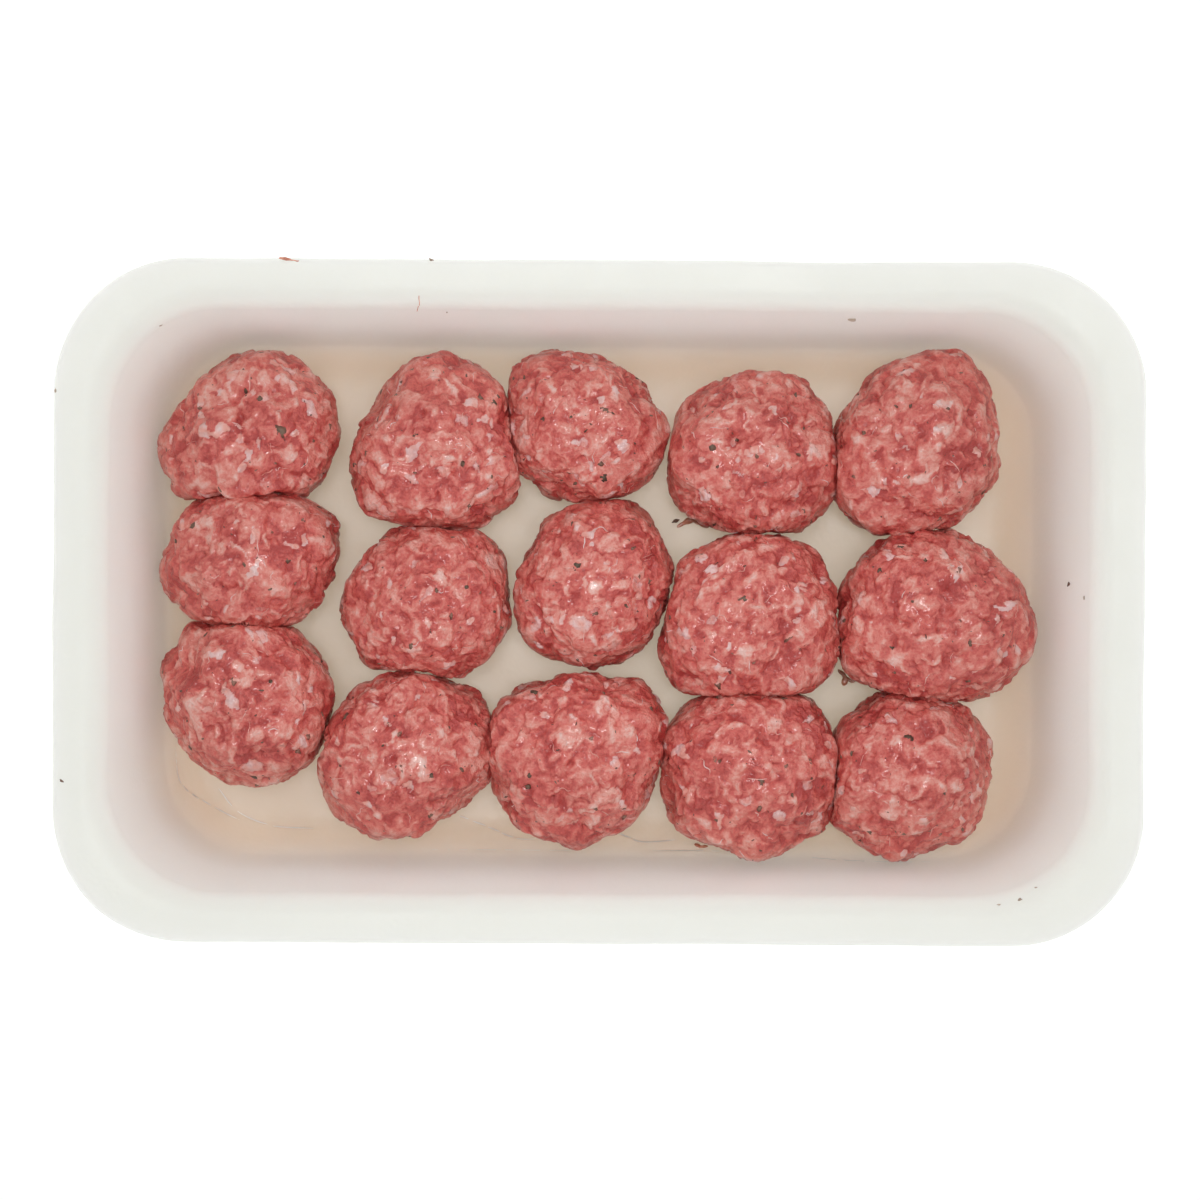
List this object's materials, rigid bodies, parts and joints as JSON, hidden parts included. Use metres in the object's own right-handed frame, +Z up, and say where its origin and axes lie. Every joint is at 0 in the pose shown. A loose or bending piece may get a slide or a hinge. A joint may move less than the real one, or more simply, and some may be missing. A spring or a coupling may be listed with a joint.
{
  "type": "open tray of raw meatballs",
  "caption": "Open rectangular foam meat tray with a flat flange and rounded corners, filled with rows of raw hand-rolled meatballs, no lid or film over it.",
  "frame": {"origin": "middle of the tray's flat underside", "axes": "+X along the tray's long side, +Y along its short side away from the viewer, +Z up"},
  "size_m": [0.23, 0.144, 0.05],
  "materials": {
    "foam": "smooth white expanded foam with a thin, slightly shiny film bonded to it",
    "meat": "raw minced meat, moist and softly glossy, with pale fat and specks of herb"
  },
  "bodies": {
    "root": {"tray": "foam", "meatball_01": "meat", "meatball_02": "meat", "meatball_03": "meat", "meatball_04": "meat", "meatball_05": "meat", "meatball_06": "meat", "meatball_07": "meat", "meatball_08": "meat", "meatball_09": "meat", "meatball_10": "meat", "meatball_11": "meat", "meatball_12": "meat", "meatball_13": "meat", "meatball_14": "meat", "meatball_15": "meat"}
  },
  "joints": []
}
